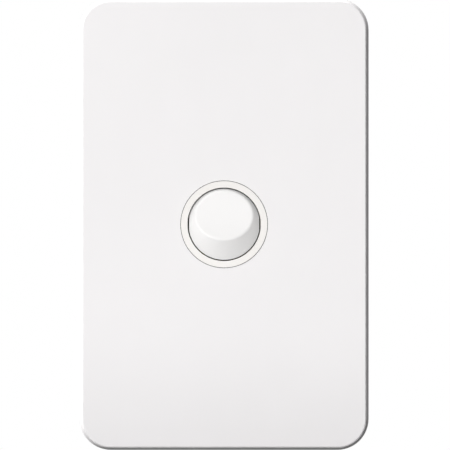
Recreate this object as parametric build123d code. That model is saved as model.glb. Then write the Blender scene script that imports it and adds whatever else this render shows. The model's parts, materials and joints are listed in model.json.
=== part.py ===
from build123d import *
import math
import os

# Light switch with a round rocker in a tall cover plate, all sizes in millimetres.
# X is right, Z is up, the room lies towards -Y and the wall surface is the plane Y = 0.
# Names ending in _FRONT or _BACK are distances in front of the wall surface.
# They are negative inside the wall box.

# Cover plate
PLATE_W = 74.3
PLATE_H = 116.0
PLATE_FRONT = 7.5
PLATE_CORNER_R = 8.0
PLATE_EDGE = 0.25
PLATE_SKIN = 1.8
PLATE_WALL = 1.6
DRAFT = 5.4
RIB_T = 1.2
RIB_X = 20.0
RIB_Z = 26.0
HOLE_LAND = 0.8
HOLE_RING_W = 1.5
HOOK_L = 8.0
HOOK_REACH = 0.6
HOOK_H = 1.6
HOOK_ROOT = 0.8
HOOK_Z = 36.0

# Grid plate
GRID_FRONT = 4.2
GRID_WEB = 2.0
GRID_RIM = 2.5
POCKET_WALL = 1.4
POCKET_BACK = 0.4
WINDOW_W = 9.0
WINDOW_H = 20.0
WINDOW_X = 26.0
WINDOW_Z = 31.0
WINDOW_BEVEL = 1.0
SIDE_SLOT_W = 4.0
SIDE_SLOT_H = 12.0
SIDE_SLOT_X = 26.5

# Fixing screws and their slots
FIXING_PITCH = 84.0
FIXING_R = 1.75
FIXING_NECK_R = 1.55
FIXING_L = 18.0
FIXING_HEAD_R = 3.4
FIXING_HEAD_H = 1.9
FIXING_SEAT = 3.0
FIXING_SLOT_L = 8.0
BOSS_WALL = 1.1
SEAT_BEVEL = 1.2

# Rocker
ROCKER_R = 12.5
ROCKER_MOUTH_R = 9.03
ROCKER_RIM = 0.1
ROCKER_CHEEK_X = 9.0
ROCKER_WALL = 1.5
ROCKER_TILT = 12.7
FLANK_ANGLE = 45.0
DISH_R = 22.0
DISH_MID = 9.81
CREASE_R = 0.9
ROCKER_CORE_BEVEL = 4.4
ROCKER_CORE_RIM = 2.3
SKIRT_FRONT = 4.9
LUG_R = 3.0
LUG_W = 10.0
TRUNNION_R = 1.5
TRUNNION_L = 2.0
BOSS_R = 3.25
BOSS_BACK = 2.5
ROCKER_RIB_T = 1.2
ROCKER_RIB_BACK = 3.0

# Mechanism housing
COLLAR_PROUD = 0.2
COLLAR_R = 11.1
COLLAR_WALL = 1.2
MOUTH_DEPTH = 2.4
MECH_W = 30.6
MECH_H = 31.0
MECH_BEVEL = 1.2
MECH_WALL = 1.6
MECH_FACE = 1.8
PARTING_BEHIND_PIVOT = 3.0
FLANGE_W = 1.6
FLANGE_T = 1.6
BARB_T = 0.55
BARB_REACH = 0.8
TONGUE_W = 8.0
TONGUE_SLIT = 0.9
LEG_W = 10.0
LEG_T = 1.0
LEG_L = 8.0
LEG_WINDOW_W = 6.0
LEG_WINDOW_H = 2.6
LEG_FOOT = 1.2
BASE_FLOOR = 2.2
BASE_SIDE_WALL = 3.2
BASE_END_WALL = 1.9
CORE_W = 1.5
CORE_H = 7.0
BACK_CORE_W = 6.0
BACK_CORE_H = 11.0
BACK_CORE_GAP = 1.6
BACK_CORE_FLOOR = 2.0

# Plunger and spring
PLUNGER_R = 1.75
PLUNGER_REACH = 7.0
PLUNGER_SHOULDER = 4.6
PLUNGER_TIP_R = 0.8
STUB_R = 0.8
STUB_L = 2.0
SPRING_SEAT = 5.0
SPRING_R = 1.4
SPRING_WIRE_R = 0.22
SPRING_TURNS = 4
SPRING_SIDES = 4

# Contacts
SHEET_T = 0.8
SEESAW_W = 5.4
SEESAW_ARM = 8.0
SEESAW_END = 1.9
SEESAW_TILT = 11.0
GUIDE_T = 0.6
GUIDE_H = 1.6
GUIDE_L = 7.0
PIN_R = 0.6
EAR_T = 0.6
EAR_W = 3.4
EAR_NOSE = 0.9
COMMON_W = 5.0
COMMON_LEG_W = 3.0
FIXED_W = 4.4
CONTACT_TIP_R = 1.5
CONTACT_TIP_H = 0.7
CONTACT_DOME_R = 4.0

# Terminals
TERMINAL_W = 7.0
TERMINAL_H = 7.0
TERMINAL_D = 7.5
TERMINAL_EDGE = 0.3
WIRE_R = 2.0
WIRE_WALL = 0.7
ENTRY_W = 4.8
ENTRY_TAPER = 22.0
CLAMP_R = 1.5
CLAMP_HEAD_R = 2.6
CLAMP_HEAD_H = 1.6

# Clearances
FIT = 0.3
SLIDING = 0.1
CLOSE = 0.05
COLLAR_GAP = 0.15
MOUTH_GAP = 0.4
BORE_PLAY = 0.15

# Places that follow from the sizes above
COLLAR_FRONT = PLATE_FRONT + COLLAR_PROUD
PIVOT_FRONT = COLLAR_FRONT - math.sqrt(ROCKER_R**2 - ROCKER_MOUTH_R**2)
HOLE_R = COLLAR_R + COLLAR_GAP
SKIN_BACK = PLATE_FRONT - PLATE_SKIN
MECH_FRONT = GRID_FRONT + CLOSE + BARB_T
PARTING = PIVOT_FRONT - PARTING_BEHIND_PIVOT
CHAMBER_X = ROCKER_CHEEK_X + FIT
TRUNNION_END = ROCKER_CHEEK_X + TRUNNION_L
WEB_BACK = GRID_FRONT - GRID_WEB
GRID_W = PLATE_W - 2 * (PLATE_WALL + FIT)
GRID_H = PLATE_H - 2 * (PLATE_WALL + FIT)
GRID_CORNER_R = PLATE_CORNER_R - PLATE_WALL - FIT
SEESAW_FRONT = PIVOT_FRONT - PLUNGER_REACH - SLIDING - SHEET_T / 2
TILT_SIN = math.sin(math.radians(SEESAW_TILT))
TILT_COS = math.cos(math.radians(SEESAW_TILT))
TIP_OUT = SHEET_T / 2 + CONTACT_TIP_H
FIXED_TIP_Z = SEESAW_ARM * TILT_COS - TIP_OUT * TILT_SIN
FIXED_TIP_FRONT = SEESAW_FRONT - TIP_OUT * TILT_COS - SEESAW_ARM * TILT_SIN - SLIDING
STRIP_FRONT = FIXED_TIP_FRONT - CONTACT_TIP_H
DECK = STRIP_FRONT - SHEET_T
TERMINAL_BACK = DECK - TERMINAL_D
WIRE_FRONT = DECK - WIRE_WALL - WIRE_R
FLOOR_FRONT = TERMINAL_BACK - SLIDING
MECH_BACK = FLOOR_FRONT - BASE_FLOOR
CAVITY_X = MECH_W / 2 - BASE_SIDE_WALL
CAVITY_Z = MECH_H / 2 - BASE_END_WALL
TERMINAL_X = CAVITY_X - SLIDING - TERMINAL_W / 2
TERMINAL_Z = CAVITY_Z - SLIDING - TERMINAL_H / 2


def facing(front):
    """Drawing plane parallel to the wall, X right and Z up, at a distance in front of it."""
    return Plane.XZ.offset(front)


def slab(outline, back, front, taper=0.0):
    """Outline drawn square to the wall, given thickness between two distances from it."""
    return extrude(facing(back) * outline, front - back, taper=taper)


def across(outline, start, thickness):
    """Outline drawn in depth and height, given thickness along X from a place outwards."""
    return Pos(start + thickness / 2, 0, 0) * extrude(Plane.YZ * outline, thickness / 2, both=True)


def along_x(radius, length):
    """Cylinder along X, centred on the origin."""
    return Rot(0, 90, 0) * Cylinder(radius, length)


def turned(outline):
    """Outline of radius and depth, revolved about the axis square to the wall."""
    return revolve(outline, Axis.Y)


def mirrored(solid, plane):
    """A solid together with its mirror image."""
    return solid + mirror(solid, plane)


def bevelled(width, height, bevel):
    """Rectangle with its corners cut off at 45 degrees."""
    return chamfer(Rectangle(width, height).vertices(), bevel)


def mech_outline(grow=0.0):
    """Outer outline of the mechanism housing, grown by an amount on every side."""
    return bevelled(MECH_W + 2 * grow, MECH_H + 2 * grow, MECH_BEVEL)


def ball_r(front):
    """Radius of the ball that the rocker's rim sweeps, at a distance in front of the wall."""
    return math.sqrt(ROCKER_R**2 - (front - PIVOT_FRONT) ** 2)


def socket_r():
    """Radius of the front housing's bore round the widest part of the rocker."""
    return ball_r(MECH_FRONT - MECH_FACE) + MOUTH_GAP


def around_plate(make, half_w, half_h):
    """Copies of a feature made at the right-hand edge, set on all four edges of the plate."""
    copies = [Rot(0, turn, 0) * Pos(0, 0, z) * make(half_w) for turn in (0, 180) for z in (-HOOK_Z, HOOK_Z)]
    copies += [Rot(0, turn, 0) * make(half_h) for turn in (90, 270)]
    return copies


def hook_nose(half_width, play=0.0):
    """Wedge of one snap hook on the inside of a drafted wall, grown by the play given."""
    wall = half_width - (HOOK_ROOT + HOOK_H / 2) * math.tan(math.radians(DRAFT))
    root = wall + PLATE_WALL / 2
    nose = wall - HOOK_REACH - play
    low = HOOK_ROOT - play
    high = HOOK_ROOT + HOOK_H + play
    outline = Polygon((root, -low), (root, -high), (nose, -(low + high) / 2), align=None)
    return extrude(outline, HOOK_L / 2 + play, both=True)


def cover_plate():
    """Drafted moulded shell with a relieved hole, ribs behind its skin and six snap hooks."""
    outside = slab(RectangleRounded(PLATE_W, PLATE_H, PLATE_CORNER_R), 0, PLATE_FRONT, DRAFT)
    outside = chamfer(outside.edges().group_by(Axis.Y)[0], PLATE_EDGE)
    inner = RectangleRounded(PLATE_W - 2 * PLATE_WALL, PLATE_H - 2 * PLATE_WALL, PLATE_CORNER_R - PLATE_WALL)
    inside = slab(inner, 0, SKIN_BACK, DRAFT)
    rib_back = GRID_FRONT + FIT
    ring_back = MECH_FRONT + FIT
    relief_r = socket_r() + COLLAR_WALL + FIT
    ribs = slab(Rectangle(RIB_T, PLATE_H), rib_back, SKIN_BACK)
    sills = slab(Rectangle(PLATE_W, RIB_T), rib_back, SKIN_BACK)
    grid = Pos(RIB_X, 0, 0) * ribs + Pos(-RIB_X, 0, 0) * ribs
    grid += Pos(0, 0, RIB_Z) * sills + Pos(0, 0, -RIB_Z) * sills
    grid += slab(Circle(relief_r + HOLE_RING_W), ring_back, SKIN_BACK)
    shell = outside - (inside - grid)
    shell -= slab(Circle(HOLE_R), 0, PLATE_FRONT)
    shell -= slab(Circle(relief_r), 0, PLATE_FRONT - HOLE_LAND)
    for hook in around_plate(hook_nose, PLATE_W / 2 - PLATE_WALL, PLATE_H / 2 - PLATE_WALL):
        shell += hook & outside
    return shell


def hook_groove(half_width):
    """Groove in the grid plate's rim that one snap hook clicks into."""
    return hook_nose(half_width, CLOSE)


def fixing_places():
    """Centres of the two fixing screws, one above the other."""
    return [Pos(0, 0, z) for z in (-FIXING_PITCH / 2, FIXING_PITCH / 2)]


def grid_plate():
    """Moulded frame with a rim on the wall, an aperture for the mechanism and slotted bosses."""
    plate = slab(RectangleRounded(GRID_W, GRID_H, GRID_CORNER_R), 0, GRID_FRONT, DRAFT)
    tray = RectangleRounded(GRID_W - 2 * GRID_RIM, GRID_H - 2 * GRID_RIM, GRID_CORNER_R - GRID_RIM)
    plate -= slab(tray, 0, WEB_BACK)
    pocket = mech_outline(FLANGE_W + FIT + POCKET_WALL) - mech_outline(FLANGE_W + FIT)
    plate += slab(pocket, POCKET_BACK, WEB_BACK)
    plate -= slab(mech_outline(FIT), 0, GRID_FRONT)
    window = slab(bevelled(WINDOW_W, WINDOW_H, WINDOW_BEVEL), WEB_BACK, GRID_FRONT)
    plate -= [Pos(x, 0, z) * window for x in (-WINDOW_X, WINDOW_X) for z in (-WINDOW_Z, WINDOW_Z)]
    side_slot = slab(bevelled(SIDE_SLOT_W, SIDE_SLOT_H, WINDOW_BEVEL), WEB_BACK, GRID_FRONT)
    plate -= [Pos(x, 0, 0) * side_slot for x in (-SIDE_SLOT_X, SIDE_SLOT_X)]
    slot_w = 2 * (FIXING_R + FIT)
    seat_w = 2 * (FIXING_HEAD_R + FIT)
    seat_l = FIXING_SLOT_L - slot_w + seat_w
    seat = bevelled(seat_l, seat_w, SEAT_BEVEL)
    boss = slab(bevelled(seat_l + 2 * BOSS_WALL, seat_w + 2 * BOSS_WALL, SEAT_BEVEL), 0, WEB_BACK)
    for place in fixing_places():
        plate += place * boss
        plate -= place * slab(SlotOverall(FIXING_SLOT_L, slot_w), 0, GRID_FRONT)
        plate -= place * slab(seat, FIXING_SEAT, GRID_FRONT)
    for groove in around_plate(hook_groove, GRID_W / 2 + FIT, GRID_H / 2 + FIT):
        plate -= groove
    return plate


def collar():
    """Stepped collar that stands round the rocker and comes through the cover's hole."""
    base = MECH_FRONT - MECH_FACE
    step = slab(Circle(socket_r() + COLLAR_WALL), base, PLATE_FRONT - HOLE_LAND - FIT)
    return step + slab(Circle(COLLAR_R), base, COLLAR_FRONT)


def rocker_socket():
    """Space inside the front housing in which the rocker swings."""
    base = MECH_FRONT - MECH_FACE
    bend = COLLAR_FRONT - MOUTH_DEPTH
    mouth_r = ROCKER_MOUTH_R + MOUTH_GAP
    bend_r = ball_r(bend) + MOUTH_GAP
    mouth = Polygon((0, -bend), (bend_r, -bend), (mouth_r, -COLLAR_FRONT), (0, -COLLAR_FRONT), align=None)
    chamber = slab(Circle(socket_r()) & Rectangle(2 * CHAMBER_X, MECH_H), base, bend)
    behind = slab(Rectangle(2 * CHAMBER_X, MECH_H - 2 * MECH_WALL), PARTING, base)
    return turned(mouth) + chamber + behind


def trunnion_slot():
    """Slots in the side walls, round at the pivot and open towards the wall box."""
    end = TRUNNION_END + FIT
    width = TRUNNION_R + SLIDING
    hole = Pos(0, -PIVOT_FRONT, 0) * along_x(width, 2 * end)
    return hole + slab(Rectangle(2 * end, 2 * width), PARTING, PIVOT_FRONT)


def mech_front():
    """Front housing: domed collar, flange behind the grid plate, snap tongues and side legs."""
    half_h = MECH_H / 2
    body = slab(mech_outline(), PARTING, MECH_FRONT) + collar()
    body += slab(mech_outline(FLANGE_W), WEB_BACK - FLANGE_T, WEB_BACK)
    barb_back = GRID_FRONT + CLOSE
    barb = Polygon((-barb_back, 0), (-MECH_FRONT, 0), (-barb_back, BARB_REACH), align=None)
    barb = Pos(0, 0, half_h) * across(barb, -TONGUE_W / 2, TONGUE_W)
    body += mirrored(barb, Plane.XY)
    body -= rocker_socket()
    body -= trunnion_slot()
    slit_z = half_h - MECH_WALL - TONGUE_SLIT / 2
    slit = Rectangle(TONGUE_W + 2 * TONGUE_SLIT, TONGUE_SLIT)
    flexing = Pos(0, 0, slit_z) * slab(slit, PARTING, MECH_FRONT)
    side_z = half_h - MECH_WALL / 2
    cut = slab(Rectangle(TONGUE_SLIT, MECH_WALL + TONGUE_SLIT), WEB_BACK, MECH_FRONT)
    for side in (-1, 1):
        flexing += Pos(side * (TONGUE_W + TONGUE_SLIT) / 2, 0, side_z) * cut
    body -= mirrored(flexing, Plane.XY)
    leg = slab(Rectangle(LEG_T, LEG_W), PARTING - LEG_L, PARTING)
    window_back = PARTING - LEG_L + LEG_FOOT
    leg -= slab(Rectangle(LEG_T, LEG_WINDOW_W), window_back, window_back + LEG_WINDOW_H)
    leg = Pos((MECH_W - LEG_T) / 2, 0, 0) * leg
    body += mirrored(leg, Plane.YZ)
    core_x = (TRUNNION_END + FIT + MECH_W / 2) / 2
    core = slab(Rectangle(CORE_W, CORE_H), PARTING, WEB_BACK - FLANGE_T)
    for x in (-core_x, core_x):
        for z in (-half_h / 2, half_h / 2):
            body -= Pos(x, 0, z) * core
    return body


def terminal_places():
    """Centres of the four terminals in X and Z."""
    return [Pos(x, 0, z) for x in (-TERMINAL_X, TERMINAL_X) for z in (-TERMINAL_Z, TERMINAL_Z)]


def wire_entries():
    """Funnels through the base's upper and lower walls, in line with the terminals' bores."""
    funnel = extrude(Rectangle(ENTRY_W, ENTRY_W), MECH_H / 2 - CAVITY_Z, taper=-ENTRY_TAPER)
    funnel = Pos(0, -WIRE_FRONT, CAVITY_Z) * funnel
    funnel = Pos(TERMINAL_X, 0, 0) * funnel + Pos(-TERMINAL_X, 0, 0) * funnel
    return mirrored(funnel, Plane.XY)


def saddles():
    """Posts on the base that close the trunnion slots behind the rocker."""
    inner = CHAMBER_X + CLOSE
    outer = TRUNNION_END + FIT - CLOSE
    post = slab(Rectangle(outer - inner, 2 * TRUNNION_R), DECK, PIVOT_FRONT)
    post = Pos((inner + outer) / 2, 0, 0) * post
    bearing = Pos(0, -PIVOT_FRONT, 0) * along_x(TRUNNION_R + SLIDING, 2 * outer)
    return mirrored(post, Plane.YZ) - bearing


def mech_base():
    """Rear housing: contact chamber, four terminal pockets, wire funnels and rocker saddles."""
    body = slab(mech_outline(), MECH_BACK, PARTING)
    body -= slab(Rectangle(2 * CAVITY_X, 2 * CAVITY_Z), DECK, PARTING)
    pocket = Rectangle(TERMINAL_W + 2 * SLIDING, TERMINAL_H + 2 * SLIDING)
    access_w = 2 * (CLAMP_HEAD_R + FIT)
    for place in terminal_places():
        body -= place * slab(pocket, FLOOR_FRONT, DECK)
        body -= place * slab(bevelled(access_w, access_w, TERMINAL_EDGE), MECH_BACK, FLOOR_FRONT)
    body -= wire_entries()
    core = slab(Rectangle(BACK_CORE_W, BACK_CORE_H), MECH_BACK, DECK - BACK_CORE_FLOOR)
    body -= mirrored(Pos(0, 0, (BACK_CORE_H + BACK_CORE_GAP) / 2) * core, Plane.XY)
    recess_back = PARTING - LEG_L - SLIDING
    recess_t = LEG_T + SLIDING
    recess = slab(Rectangle(recess_t, LEG_W + 2 * SLIDING), recess_back, PARTING)
    body -= mirrored(Pos((MECH_W - recess_t) / 2, 0, 0) * recess, Plane.YZ)
    wedge_back = PARTING - LEG_L + LEG_FOOT + SLIDING
    wedge_front = wedge_back + LEG_WINDOW_H - 2 * SLIDING
    wall = MECH_W / 2 - recess_t
    wedge = Polygon((wall, -wedge_back), (MECH_W / 2, -wedge_back), (wall, -wedge_front), align=None)
    wedge = extrude(wedge, LEG_WINDOW_W / 2 - SLIDING, both=True)
    body += mirrored(wedge, Plane.YZ)
    body += saddles()
    return body


def in_rocker(solid):
    """Set a solid drawn about the rocker's pivot, square to the wall, at the tilt of rest."""
    return Pos(0, -PIVOT_FRONT, 0) * Rot(-ROCKER_TILT, 0, 0) * solid


def dish(grow=0.0):
    """Cylinder along X that hollows the rocker's face."""
    return Pos(0, -DISH_MID - DISH_R, 0) * along_x(DISH_R + grow, 4 * ROCKER_R)


def rocker_cone():
    """Cone of the rocker's flanks, which reaches the swept ball at the mouth's edge at full tilt."""
    reach = math.asin(ROCKER_MOUTH_R / ROCKER_R) + math.radians(ROCKER_TILT)
    slope = math.tan(math.radians(FLANK_ANGLE))
    apex = ROCKER_R * (math.cos(reach) + math.sin(reach) / slope)
    base_r = (apex + LUG_R) * slope
    return turned(Polygon((0, -apex), (0, LUG_R), (base_r, LUG_R), align=None))


def rocker_sides():
    """Space inside the mouth at either end of the travel, with a narrow rim and flat cheeks."""
    bore = slab(Circle(ROCKER_MOUTH_R + ROCKER_RIM), -2 * ROCKER_R, 2 * ROCKER_R)
    both = Rot(ROCKER_TILT, 0, 0) * bore + Rot(-ROCKER_TILT, 0, 0) * bore
    return both & Box(2 * ROCKER_CHEEK_X, 4 * ROCKER_R, 4 * ROCKER_R)


def rocker_core(half):
    """Eight-sided core that hollows the rocker from behind, with its front rim cut back."""
    core = slab(bevelled(2 * half, 2 * half, ROCKER_CORE_BEVEL), 0, DISH_MID)
    rim = core.edges().group_by(Axis.Y)[0]
    return chamfer(rim, ROCKER_CORE_RIM) - dish(ROCKER_WALL)


def rocker():
    """Hollow rocker with a dished face, conical flanks, trunnions and a bored boss."""
    face = rocker_cone() - dish()
    face = fillet(face.faces().filter_by(GeomType.CYLINDER)[0].edges(), CREASE_R)
    face &= rocker_sides()
    inner_x = ROCKER_CHEEK_X - ROCKER_WALL
    behind = slab(Rectangle(4 * ROCKER_R, 4 * ROCKER_R), -LUG_R, SKIRT_FRONT)
    shell = face - rocker_core(inner_x) - behind
    lug_front = -SKIRT_FRONT - LUG_R
    lug = Polygon((0, -LUG_R), (0, LUG_R), (lug_front, LUG_W / 2), (lug_front, -LUG_W / 2), align=None)
    lug = across(lug, inner_x, ROCKER_WALL) + across(Circle(LUG_R), inner_x, ROCKER_WALL)
    shell += mirrored(lug & face, Plane.YZ)
    shell += along_x(TRUNNION_R, 2 * TRUNNION_END) - Box(2 * inner_x, 6 * ROCKER_R, 6 * ROCKER_R)
    boss_front = DISH_MID - ROCKER_WALL / 2
    shell += slab(Circle(BOSS_R), -BOSS_BACK, boss_front)
    shell += slab(Rectangle(2 * inner_x + ROCKER_WALL, ROCKER_RIB_T), ROCKER_RIB_BACK, boss_front) & face
    shell -= slab(Circle(PLUNGER_R + BORE_PLAY), -BOSS_BACK, SPRING_SEAT)
    return in_rocker(shell)


def plunger():
    """Turned plunger with a stub inside the spring and a blunt nose on the seesaw."""
    outline = Polygon(
        (0, -STUB_L), (STUB_R, -STUB_L), (STUB_R, 0), (PLUNGER_R, 0),
        (PLUNGER_R, PLUNGER_SHOULDER), (PLUNGER_TIP_R, PLUNGER_REACH), (0, PLUNGER_REACH), align=None)
    return in_rocker(turned(outline))


def plunger_spring():
    """Coil spring between the end of the rocker's bore and the plunger."""
    length = SPRING_SEAT - 2 * (SPRING_WIRE_R + CLOSE)
    path = Helix(length / SPRING_TURNS, length, SPRING_R)
    section = RegularPolygon(SPRING_WIRE_R, SPRING_SIDES)
    wire = sweep(Plane(path @ 0, z_dir=path % 0) * section, path=path)
    return in_rocker(Pos(0, -SPRING_SEAT + SPRING_WIRE_R + CLOSE, 0) * Rot(-90, 0, 0) * wire)


def in_seesaw(solid):
    """Set a solid drawn about the seesaw's pivot, square to the wall, at the tilt of rest."""
    return Pos(0, -SEESAW_FRONT, 0) * Rot(SEESAW_TILT, 0, 0) * solid


def contact_tip():
    """Domed rivet head of a contact, with its flat side on the origin and its dome forward."""
    disc = slab(Circle(CONTACT_TIP_R), 0, CONTACT_TIP_H)
    return disc & (Pos(0, CONTACT_DOME_R - CONTACT_TIP_H, 0) * Sphere(CONTACT_DOME_R))


def moving_contact():
    """Seesaw strip with two arms, folded guides beside the plunger and pivot pins."""
    half_t = SHEET_T / 2
    arm = SlotOverall(2 * (SEESAW_ARM + SEESAW_END), SEESAW_W, 90)
    strip = slab(arm, -half_t, half_t)
    top = -half_t - GUIDE_H
    guide = Polygon((0, -GUIDE_L / 2), (0, GUIDE_L / 2), (top, GUIDE_L / 4), (top, -GUIDE_L / 4), align=None)
    strip += mirrored(across(guide, SEESAW_W / 2 - GUIDE_T, GUIDE_T), Plane.YZ)
    pin_end = SEESAW_W / 2 + FIT + EAR_T + FIT
    pin = along_x(PIN_R, 2 * pin_end) - Box(SEESAW_W - GUIDE_T, SEESAW_W, SEESAW_W)
    strip += pin
    return in_seesaw(strip)


def moving_tip(side):
    """Contact tip under one arm of the seesaw, above (1) or below (-1) its pivot."""
    return in_seesaw(Pos(0, SHEET_T / 2, side * SEESAW_ARM) * Rot(180, 0, 0) * contact_tip())


def fixed_tip(side):
    """Contact tip on a fixed strip, above (1) or below (-1) the seesaw's pivot."""
    return Pos(0, -STRIP_FRONT, side * FIXED_TIP_Z) * contact_tip()


def fixed_contact(side):
    """Strip that carries a fixed contact across to the right-hand terminal beside it."""
    left = -FIXED_W / 2
    right = TERMINAL_X + TERMINAL_W / 2 - SLIDING
    strip = Pos((left + right) / 2, side * FIXED_TIP_Z) * RectangleRounded(right - left, FIXED_W, SHEET_T)
    return slab(strip, DECK, STRIP_FRONT)


def common_strip():
    """Strip from the upper left terminal to the two ears that carry the seesaw."""
    ear_x = SEESAW_W / 2 + FIT
    right = ear_x + EAR_T
    left = -(TERMINAL_X - TERMINAL_W / 2 + COMMON_LEG_W)
    leg_top = TERMINAL_Z + TERMINAL_H / 2 - SLIDING
    outline = Pos((left + right) / 2, 0) * Rectangle(right - left, COMMON_W)
    leg_z = (leg_top - COMMON_W / 2) / 2
    outline += Pos(left + COMMON_LEG_W / 2, leg_z) * Rectangle(COMMON_LEG_W, leg_top + COMMON_W / 2)
    strip = slab(outline, DECK, STRIP_FRONT)
    root = -STRIP_FRONT
    tip = -SEESAW_FRONT - EAR_NOSE
    root_w = COMMON_W / 2
    tip_w = EAR_W / 2
    ear = Polygon((root, -root_w), (root, root_w), (tip, tip_w), (tip, -tip_w), align=None)
    ears = mirrored(across(ear, ear_x, EAR_T), Plane.YZ)
    notch_r = PIN_R + CLOSE
    ears -= Pos(0, -SEESAW_FRONT, 0) * along_x(notch_r, 4 * right)
    ears -= slab(Rectangle(4 * right, 2 * notch_r), SEESAW_FRONT, SEESAW_FRONT + 2 * EAR_NOSE)
    return strip + ears


def terminal(x_side, z_side):
    """Brass block with a wire bore open up or down and a clamping screw hole from behind."""
    block = slab(Rectangle(TERMINAL_W, TERMINAL_H), TERMINAL_BACK, DECK)
    block = chamfer(block.edges().filter_by(Axis.Y), TERMINAL_EDGE)
    block -= Pos(0, -WIRE_FRONT, 0) * Cylinder(WIRE_R, 2 * TERMINAL_H)
    block -= slab(Circle(CLAMP_R + CLOSE), TERMINAL_BACK, WIRE_FRONT)
    return Pos(x_side * TERMINAL_X, 0, z_side * TERMINAL_Z) * block


def driver_slot(head_r, width, back, front):
    """Cutter for a driver slot across a screw head, between two distances from the wall."""
    return slab(Rectangle(3 * head_r, width), back, front)


def fixing_screws():
    """Two pan-head screws through the grid plate's slots into the wall box."""
    top = FIXING_SEAT + FIXING_HEAD_H
    head = slab(Circle(FIXING_HEAD_R), FIXING_SEAT, top)
    head = chamfer(head.edges().group_by(Axis.Y)[0], FIXING_HEAD_H / 3, FIXING_HEAD_H / 2)
    head -= driver_slot(FIXING_HEAD_R, FIXING_NECK_R / 2, top - FIXING_HEAD_H / 2, top)
    neck = slab(Circle(FIXING_NECK_R), 0, FIXING_SEAT)
    shank = slab(Circle(FIXING_R), -FIXING_L, 0)
    screw = head + neck + shank
    return Compound([place * screw for place in fixing_places()])


def terminal_screws():
    """Four clamping screws, backed out clear of the wire bores."""
    tip = WIRE_FRONT - WIRE_R - SLIDING
    seat = TERMINAL_BACK - SLIDING
    screw = slab(Circle(CLAMP_R), seat, tip)
    screw += slab(Circle(CLAMP_HEAD_R), seat - CLAMP_HEAD_H, seat)
    end = seat - CLAMP_HEAD_H
    screw -= driver_slot(CLAMP_HEAD_R, CLAMP_R / 2, end, end + CLAMP_HEAD_H / 2)
    return Compound([place * screw for place in terminal_places()])


NODES = {
    "cover_plate": cover_plate,
    "grid_plate": grid_plate,
    "mech_front": mech_front,
    "mech_base": mech_base,
    "rocker": rocker,
    "plunger": plunger,
    "plunger_spring": plunger_spring,
    "moving_contact": moving_contact,
    "moving_tip_upper": lambda: moving_tip(1),
    "moving_tip_lower": lambda: moving_tip(-1),
    "fixed_tip_upper": lambda: fixed_tip(1),
    "fixed_tip_lower": lambda: fixed_tip(-1),
    "fixed_contact_upper": lambda: fixed_contact(1),
    "fixed_contact_lower": lambda: fixed_contact(-1),
    "common_strip": common_strip,
    "common_terminal": lambda: terminal(-1, 1),
    "loop_terminal": lambda: terminal(-1, -1),
    "terminal_1": lambda: terminal(1, -1),
    "terminal_2": lambda: terminal(1, 1),
    "terminal_screws": terminal_screws,
    "fixing_screws": fixing_screws,
}

os.makedirs("parts", exist_ok=True)
for name, make in NODES.items():
    export_step(make(), "parts/" + name + ".step")
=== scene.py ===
import json
import math

import bmesh
import bpy
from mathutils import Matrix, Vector

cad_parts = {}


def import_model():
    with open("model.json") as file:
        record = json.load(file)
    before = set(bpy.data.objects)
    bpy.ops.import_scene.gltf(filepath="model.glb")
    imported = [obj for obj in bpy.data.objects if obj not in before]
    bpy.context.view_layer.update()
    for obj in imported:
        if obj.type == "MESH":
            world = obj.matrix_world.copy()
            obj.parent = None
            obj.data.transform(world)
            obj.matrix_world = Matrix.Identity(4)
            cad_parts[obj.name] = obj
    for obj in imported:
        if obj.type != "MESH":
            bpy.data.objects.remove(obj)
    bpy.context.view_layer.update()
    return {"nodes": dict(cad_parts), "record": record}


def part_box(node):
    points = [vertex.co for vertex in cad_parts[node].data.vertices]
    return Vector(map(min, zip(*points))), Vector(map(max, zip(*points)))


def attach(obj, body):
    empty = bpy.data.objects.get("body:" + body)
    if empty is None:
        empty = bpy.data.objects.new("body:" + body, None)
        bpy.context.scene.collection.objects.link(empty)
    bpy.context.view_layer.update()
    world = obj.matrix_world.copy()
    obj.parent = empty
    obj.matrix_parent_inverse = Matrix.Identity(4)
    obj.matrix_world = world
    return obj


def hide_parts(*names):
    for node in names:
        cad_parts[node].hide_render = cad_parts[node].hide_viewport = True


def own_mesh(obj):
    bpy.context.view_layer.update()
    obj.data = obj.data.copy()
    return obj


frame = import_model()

NODES = frame["nodes"]
MM_PER_M = 1000
WHITE = (1.0, 1.0, 1.0, 1.0)

# Camera: a long lens straight on, with the plate filling the height of the square frame
PLATE_FRONT_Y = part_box("cover_plate")[0][1]
CAMERA_DISTANCE = 4.0
CLIP_START = 0.1
CLIP_END = 20.0
FRAME_HEIGHT = 0.1155
FRAME_CENTRE_X = 0.00023
FRAME_CENTRE_Z = -0.00018
SENSOR = 36.0

# Most values of a noise texture lie between these two
NOISE_LOW = 0.3
NOISE_HIGH = 0.7

# Painted shade that darkens the colour in the narrow gaps outside and all through the housing. Each
# pair is how far it reaches, in metres, and the share of the colour that it leaves.
PAINTED_SHADE_OUTSIDE = (0.001, 0.12)
PAINTED_SHADE_INSIDE = (0.03, 0.3)
PAINTED_SHADE_DEEP_INSIDE = (0.03, 0.12)

# A place is shut in where this share or less of its surroundings is open, and free from the second on
SHUT_IN = 0.38
FREE = 0.55
SHADE_SAMPLES = 16

# Moulded plastics: noises for the slow drift of colour, the flow marks in the gloss and the skin, how
# far the first two go, and the skin's relief in metres
DRIFT = {"scale": 28.0, "detail": 2.0}
DRIFT_SHADE = 0.985
FLOW = {"scale": 260.0, "detail": 4.0, "stretch": (1.0, 1.0, 0.35)}
FLOW_SPREAD = 0.12
SKIN_SCALE = 1400.0
SKIN_DETAIL = 2.0
FINE_RELIEF = 0.000004
COARSE_RELIEF = 0.00001

# Specular levels of plastics
GLOSSY = 0.5
SATIN = 0.25
MATT = 0.0

# The plate's side walls are matt from this depth behind its front, over this blend
PLATE_EDGE = 0.00025
MATT_BLEND = 0.0001

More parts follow.
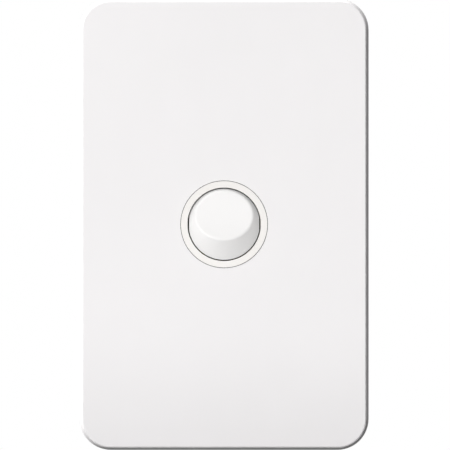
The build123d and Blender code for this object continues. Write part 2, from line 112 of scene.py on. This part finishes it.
# Metals: noises for tarnish and tool marks, how far they go, and the marks' relief in metres
TARNISH = {"scale": 240.0, "detail": 3.0}
TARNISH_SHADE = 0.86
MARKS_SCALE = 900.0
MARKS_DETAIL = 4.0
MARKS_SMOOTH = 0.75
MARKS_ROUGH = 1.3
MARKS_RELIEF = 0.000003

# Stretches of a noise: a small share on an axis draws the marks out along it
EVEN = (1.0, 1.0, 1.0)
ALONG_X = (0.1, 1.0, 1.0)
ALONG_Y = (1.0, 0.1, 1.0)
PARTLY_ALONG_Y = (1.0, 0.15, 1.0)

# Thread of the fixing screws. Its foot is given as a share of the pitch, its start and the length
# that it leaves bare in turns.
THREAD_PITCH = 0.0006
THREAD_DEPTH = 0.00034
THREAD_SUNK = THREAD_DEPTH / 3
THREAD_LAND = 0.00008
THREAD_FOOT = 0.48
THREAD_START = 0.75
THREAD_BARE = 1.5
THREAD_STEPS = 36
SHANK_NEAR = 0.00008

# Plunger's spring
SPRING_WIRE_R = 0.00022
SPRING_TURNS = 4
SPRING_STEPS = 40
SPRING_SIDES = 12

# Studio
FLOOR_Z = -0.1
FLOOR_SIDE = 0.6
FLOOR_FRONT = -0.2
FLOOR_BACK = 1.2
FLOOR_ROUGH = 0.9
FLOOR_SEEN = (0.98, 0.98, 0.98, 1.0)
FLOOR_UNSEEN = (0.12, 0.12, 0.12, 1.0)
FLOOR_GLOW = 0.2
AMBIENT = 0.04

# Soft boxes: name, place, width and height in metres, and power in watts
LAMPS = (
    ("front", (-0.25, -1.4, 0.05), (2.2, 1.2), 23.4),
    ("key", (-1.3, -1.1, 1.25), (0.7, 0.7), 11.6),
    ("left_strip", (-0.6, 0.12, 0.1), (0.2, 0.5), 3.0),
    ("top_strip", (0.0, 0.12, 0.6), (0.5, 0.2), 3.0),
    ("back", (-0.9, 1.3, 1.0), (0.7, 0.7), 20.0),
)


def colour(red, green, blue):
    """A colour with full alpha."""
    return (red, green, blue, 1.0)


def shaded(base, share):
    """A colour darkened to a share of itself."""
    return colour(*(part * share for part in base[:3]))


def add(tree, kind, inputs, **settings):
    """A new node with its settings, and with its inputs given values or links from other nodes."""
    made = tree.nodes.new(kind)
    for name, value in settings.items():
        setattr(made, name, value)
    for name, value in inputs.items():
        if isinstance(value, bpy.types.NodeSocket):
            tree.links.new(value, made.inputs[name])
        else:
            made.inputs[name].default_value = value
    return made


def new_material(name):
    """A node material with only its output and shader, and its tree and shader beside it."""
    material = bpy.data.materials.new(name)
    material.use_nodes = True
    tree = material.node_tree
    tree.nodes.clear()
    shader = add(tree, "ShaderNodeBsdfPrincipled", {})
    add(tree, "ShaderNodeOutputMaterial", {"Surface": shader.outputs["BSDF"]})
    return material, tree, shader


def noise(tree, scale, detail, stretch=EVEN):
    """A noise texture in the object's own metres."""
    place = add(tree, "ShaderNodeTexCoord", {}).outputs["Object"]
    mapping = add(tree, "ShaderNodeMapping", {"Vector": place, "Scale": stretch})
    texture = {"Vector": mapping.outputs["Vector"], "Scale": scale, "Detail": detail}
    return add(tree, "ShaderNodeTexNoise", texture).outputs["Fac"]


def mapped(tree, value, low, high, from_low=NOISE_LOW, from_high=NOISE_HIGH):
    """A value brought from one range to another, and held at the ends."""
    ranges = {"From Min": from_low, "From Max": from_high, "To Min": low, "To Max": high}
    return add(tree, "ShaderNodeMapRange", {"Value": value, **ranges}).outputs["Result"]


def tinted(tree, factor, first, second):
    """A colour that runs from first to second with a noise."""
    ramp = add(tree, "ShaderNodeValToRGB", {"Fac": factor})
    low, high = ramp.color_ramp.elements
    low.position = NOISE_LOW
    low.color = first
    high.position = NOISE_HIGH
    high.color = second
    return ramp.outputs["Color"]


def mixed(tree, factor, first, second, blend="MIX"):
    """Two colours mixed by a factor."""
    inputs = {"Factor": factor, "A": first, "B": second}
    return add(tree, "ShaderNodeMix", inputs, data_type="RGBA", blend_type=blend).outputs["Result"]


def painted_crevice_shade(tree, paint, reach, left):
    """Painted shade: a colour that darkens to a share of itself where faces stand closer than a
    reach.
    """
    around = add(tree, "ShaderNodeAmbientOcclusion", {"Distance": reach}, samples=SHADE_SAMPLES)
    shade = mapped(tree, around.outputs["AO"], left, 1.0, SHUT_IN, FREE)
    return mixed(tree, 1.0, paint, shade, "MULTIPLY")


def bumped(tree, shader, height, distance):
    """Relief on a shader from a height, in metres."""
    bump = add(tree, "ShaderNodeBump", {"Height": height, "Distance": distance, "Strength": 1.0})
    tree.links.new(bump.outputs["Normal"], shader.inputs["Normal"])


def moulded(name, base, rough, skin=SKIN_SCALE, relief=FINE_RELIEF, specular=GLOSSY, painted_shade=PAINTED_SHADE_OUTSIDE):
    """Moulded plastic: slow drift of colour, fine flow marks in its gloss and a faint skin relief."""
    material, tree, shader = new_material(name)
    paint = tinted(tree, noise(tree, **DRIFT), shaded(base, DRIFT_SHADE), base)
    # Painted shade darkens the colour where faces stand close together
    paint = painted_crevice_shade(tree, paint, *painted_shade)
    tree.links.new(paint, shader.inputs["Base Color"])
    flow = noise(tree, **FLOW)
    gloss = mapped(tree, flow, rough * (1 - FLOW_SPREAD), rough * (1 + FLOW_SPREAD))
    tree.links.new(gloss, shader.inputs["Roughness"])
    bumped(tree, shader, noise(tree, skin, SKIN_DETAIL), relief)
    shader.inputs["Specular IOR Level"].default_value = specular
    return material


def metal(name, base, rough, stretch, painted_shade=PAINTED_SHADE_OUTSIDE):
    """Bare metal, tarnished in places, with fine tool marks drawn out as the stretch says."""
    material, tree, shader = new_material(name)
    shader.inputs["Metallic"].default_value = 1.0
    paint = tinted(tree, noise(tree, **TARNISH), shaded(base, TARNISH_SHADE), base)
    # Painted shade darkens the colour where faces stand close together
    paint = painted_crevice_shade(tree, paint, *painted_shade)
    tree.links.new(paint, shader.inputs["Base Color"])
    marks = noise(tree, MARKS_SCALE, MARKS_DETAIL, stretch)
    gloss = mapped(tree, marks, rough * MARKS_SMOOTH, rough * MARKS_ROUGH)
    tree.links.new(gloss, shader.inputs["Roughness"])
    bumped(tree, shader, marks, MARKS_RELIEF)
    return material


def depth_step(tree, depth, front, behind):
    """A value that is one thing on the room's side of a depth and another behind it."""
    place = add(tree, "ShaderNodeTexCoord", {}).outputs["Object"]
    parts = add(tree, "ShaderNodeSeparateXYZ", {"Vector": place})
    return mapped(tree, parts.outputs["Y"], front, behind, depth, depth + MATT_BLEND)


def plate_plastic():
    """Satin moulding whose side walls and inside keep the dead matt skin of the mould."""
    material = moulded("plate_white", colour(0.885, 0.868, 0.872), rough=0.5, specular=SATIN)
    tree = material.node_tree
    shader = tree.nodes["Principled BSDF"]
    gloss = depth_step(tree, PLATE_FRONT_Y + PLATE_EDGE, SATIN, MATT)
    tree.links.new(gloss, shader.inputs["Specular IOR Level"])
    return material


def dress(material, *names):
    """Give CAD nodes a material in place of the plain one they came with."""
    for name in names:
        mesh = NODES[name].data
        mesh.materials.clear()
        mesh.materials.append(material)


def materials():
    """Dress every CAD node."""
    dress(plate_plastic(), "cover_plate")
    collar = moulded("collar_white", colour(0.900, 0.875, 0.850), rough=0.5, specular=SATIN)
    dress(collar, "mech_front")
    rocker = moulded("rocker_white", colour(0.925, 0.915, 0.908), rough=0.5, specular=SATIN)
    dress(rocker, "rocker")
    white = colour(0.74, 0.74, 0.72)
    grid = moulded("frame_white", white, rough=0.55, skin=2600.0, relief=COARSE_RELIEF)
    dress(grid, "grid_plate")
    grey = colour(0.66, 0.65, 0.61)
    # Painted shade darkens the base grey all through the housing
    base = moulded("base_grey", grey, rough=0.6, skin=1800.0, relief=COARSE_RELIEF, painted_shade=PAINTED_SHADE_INSIDE)
    dress(base, "mech_base")
    dress(moulded("plunger_black", colour(0.03, 0.03, 0.033), rough=0.35), "plunger")
    wire = metal("spring_wire", colour(0.62, 0.62, 0.63), rough=0.28, stretch=EVEN)
    dress(wire, "plunger_spring")
    # Painted shade darkens the brass inside the housing, and the pressed strips deepest
    brass = colour(0.78, 0.56, 0.25)
    strip = metal("pressed_brass", brass, rough=0.33, stretch=ALONG_X, painted_shade=PAINTED_SHADE_DEEP_INSIDE)
    dress(strip, "moving_contact", "fixed_contact_upper", "fixed_contact_lower", "common_strip")
    bright_brass = colour(0.80, 0.60, 0.29)
    bar = metal("machined_brass", bright_brass, rough=0.3, stretch=ALONG_Y, painted_shade=PAINTED_SHADE_INSIDE)
    dress(bar, "common_terminal", "loop_terminal", "terminal_1", "terminal_2")
    silver = metal("silver_rivet", colour(0.82, 0.82, 0.80), rough=0.25, stretch=EVEN)
    dress(silver, "moving_tip_upper", "moving_tip_lower", "fixed_tip_upper", "fixed_tip_lower")
    zinc = metal("bright_zinc", colour(0.70, 0.71, 0.72), rough=0.3, stretch=PARTLY_ALONG_Y)
    dress(zinc, "terminal_screws", "fixing_screws")


def placed(name, data):
    """A new object in the scene for a mesh, a lamp or a camera."""
    piece = bpy.data.objects.new(name, data)
    bpy.context.scene.collection.objects.link(piece)
    return piece


def swept(name, rings):
    """Mesh through rings of points, each closed round, with the first and last capped."""
    shape = bmesh.new()
    loops = [[shape.verts.new(point) for point in ring] for ring in rings]
    for loop, after in zip(loops, loops[1:]):
        for side in range(len(loop)):
            turn = (side + 1) % len(loop)
            shape.faces.new((loop[side], loop[turn], after[turn], after[side]))
    shape.faces.new(loops[0])
    shape.faces.new(loops[-1])
    bmesh.ops.recalc_face_normals(shape, faces=shape.faces)
    mesh = bpy.data.meshes.new(name)
    shape.to_mesh(mesh)
    shape.free()
    return mesh


def stand_in(mesh, node, body):
    """Put a mesh in a node's place, with the node's material, riding on its body."""
    mesh.materials.append(NODES[node].data.materials[0])
    piece = placed(mesh.name, mesh)
    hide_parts(node)
    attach(piece, body)
    return piece


def thread_ridge(centre_z, radius, end):
    """Helical ridge round a screw's shank, fading in and out over its first and last turn."""
    core = radius - THREAD_DEPTH
    foot = core - THREAD_SUNK
    half = THREAD_PITCH * THREAD_FOOT
    count = round((end / THREAD_PITCH - THREAD_BARE) * THREAD_STEPS)
    rings = []
    for step in range(count + 1):
        angle = 2 * math.pi * step / THREAD_STEPS
        middle = THREAD_PITCH * (THREAD_START + step / THREAD_STEPS)
        crest = core + THREAD_DEPTH * min(1.0, step / THREAD_STEPS, (count - step) / THREAD_STEPS)
        section = ((foot, -half), (crest, -THREAD_LAND), (crest, THREAD_LAND), (foot, half))
        x = math.cos(angle)
        z = math.sin(angle)
        rings.append([(out * x, middle + along, centre_z + out * z) for out, along in section])
    return swept("thread", rings)


def fixing_screws():
    """The two fixing screws with a thread: their plain shanks become cores with a helical ridge."""
    studs = next(mount for mount in frame["record"]["mounts"] if mount["name"] == "fixing_studs")
    radius = studs["dims"]["stud_r_mm"] / MM_PER_M
    height = studs["dims"]["spacing_y_mm"] / 2 / MM_PER_M
    shank_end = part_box("fixing_screws")[1][1]
    shape = bmesh.new()
    shape.from_mesh(NODES["fixing_screws"].data)
    core_share = 1.0 - THREAD_DEPTH / radius
    for point in shape.verts:
        centre_z = math.copysign(height, point.co.z)
        out = math.hypot(point.co.x, point.co.z - centre_z)
        if point.co.y > -SHANK_NEAR and abs(out - radius) < SHANK_NEAR:
            point.co.x *= core_share
            point.co.z = centre_z + (point.co.z - centre_z) * core_share
    for centre_z in (-height, height):
        shape.from_mesh(thread_ridge(centre_z, radius, shank_end))
    mesh = bpy.data.meshes.new("fixing_screws_threaded")
    shape.to_mesh(mesh)
    shape.free()
    stand_in(mesh, "fixing_screws", "housing")


def coil(start, along, length, radius):
    """Rings of points round a wire that winds about an axis, from a start on it."""
    right = Vector((1.0, 0.0, 0.0))
    down = along.cross(right)
    rise = along * (length / (SPRING_TURNS * 2 * math.pi * radius))
    count = SPRING_TURNS * SPRING_STEPS
    rings = []
    for step in range(count + 1):
        angle = 2 * math.pi * step / SPRING_STEPS
        out = right * math.cos(angle) + down * math.sin(angle)
        ahead = (down * math.cos(angle) - right * math.sin(angle) + rise).normalized()
        beside = ahead.cross(out)
        middle = start + out * radius + along * (length * step / count)
        ring = []
        for side in range(SPRING_SIDES):
            turn = 2 * math.pi * side / SPRING_SIDES
            ring.append(middle + (out * math.cos(turn) + beside * math.sin(turn)) * SPRING_WIRE_R)
        rings.append(ring)
    return rings


def plunger_spring():
    """Coil of round wire in place of the square one, riding on the plunger."""
    joints = {joint["name"]: joint for joint in frame["record"]["behaviour"]["joints"]}
    slide = joints["plunger_slide"]
    along = Vector(slide["axis"])
    pivot = Vector(joints["rocker_tilt"]["pos_m"])
    depths = [(point.co - pivot).dot(along) for point in NODES["plunger_spring"].data.vertices]
    first = min(depths)
    last = max(depths)
    length = last - first - 2 * SPRING_WIRE_R
    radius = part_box("plunger_spring")[1][0] - SPRING_WIRE_R
    rings = coil(pivot + along * (first + SPRING_WIRE_R), along, length, radius)
    piece = stand_in(swept("plunger_spring_wire", rings), "plunger_spring", "plunger")
    for face in piece.data.polygons:
        face.use_smooth = len(face.vertices) == 4
    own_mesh(piece)


def camera():
    """Long lens in front of the plate, at the photograph's framing."""
    data = bpy.data.cameras.new("camera")
    data.sensor_width = SENSOR
    data.lens = SENSOR * CAMERA_DISTANCE / FRAME_HEIGHT
    data.clip_start = CLIP_START
    data.clip_end = CLIP_END
    piece = placed("camera", data)
    piece.location = (FRAME_CENTRE_X, PLATE_FRONT_Y - CAMERA_DISTANCE, FRAME_CENTRE_Z)
    piece.rotation_euler = (math.pi / 2, 0.0, 0.0)
    bpy.context.scene.camera = piece


def larger(tree, first, second):
    """The larger of two values."""
    return add(tree, "ShaderNodeMath", {0: first, 1: second}, operation="MAXIMUM").outputs[0]


def seen_rays(tree):
    """1 for rays that show the background itself: from the camera, a reflection or a transmission."""
    path = add(tree, "ShaderNodeLightPath", {}).outputs
    seen = larger(tree, path["Is Camera Ray"], path["Is Glossy Ray"])
    return larger(tree, seen, path["Is Transmission Ray"])


def world():
    """White background, with a much weaker even light on the object."""
    studio = bpy.data.worlds.new("studio")
    bpy.context.scene.world = studio
    studio.use_nodes = True
    tree = studio.node_tree
    tree.nodes.clear()
    dim = add(tree, "ShaderNodeBackground", {"Color": WHITE, "Strength": AMBIENT})
    white = add(tree, "ShaderNodeBackground", {"Color": WHITE, "Strength": 1.0})
    both = {0: seen_rays(tree), 1: dim.outputs[0], 2: white.outputs[0]}
    blend = add(tree, "ShaderNodeMixShader", both)
    add(tree, "ShaderNodeOutputWorld", {"Surface": blend.outputs[0]})


def floor():
    """Pale floor below the switch, white to the eye and grey to the light that it sends back."""
    material, tree, shader = new_material("floor")
    shader.inputs["Roughness"].default_value = FLOOR_ROUGH
    shader.inputs["Specular IOR Level"].default_value = MATT
    shader.inputs["Emission Color"].default_value = WHITE
    seen = seen_rays(tree)
    tree.links.new(mixed(tree, seen, FLOOR_UNSEEN, FLOOR_SEEN), shader.inputs["Base Color"])
    glow = add(tree, "ShaderNodeMath", {0: seen, 1: FLOOR_GLOW}, operation="MULTIPLY")
    tree.links.new(glow.outputs[0], shader.inputs["Emission Strength"])
    front = [(-FLOOR_SIDE, FLOOR_FRONT, FLOOR_Z), (FLOOR_SIDE, FLOOR_FRONT, FLOOR_Z)]
    back = [(FLOOR_SIDE, FLOOR_BACK, FLOOR_Z), (-FLOOR_SIDE, FLOOR_BACK, FLOOR_Z)]
    mesh = bpy.data.meshes.new("floor")
    mesh.from_pydata(front + back, [], [(0, 1, 2, 3)])
    mesh.materials.append(material)
    piece = placed("floor", mesh)


def lamp(name, place, size, power):
    """Soft box at a place, aimed at the object and unseen by the camera."""
    data = bpy.data.lights.new(name, "AREA")
    data.shape = "RECTANGLE"
    data.size, data.size_y = size
    data.energy = power
    piece = placed(name, data)
    piece.location = place
    piece.rotation_euler = (-Vector(place)).to_track_quat("-Z", "Y").to_euler()
    piece.visible_camera = False


bpy.context.scene.view_settings.view_transform = "Standard"
materials()
fixing_screws()
plunger_spring()
camera()
world()
floor()
for soft_box in LAMPS:
    lamp(*soft_box)
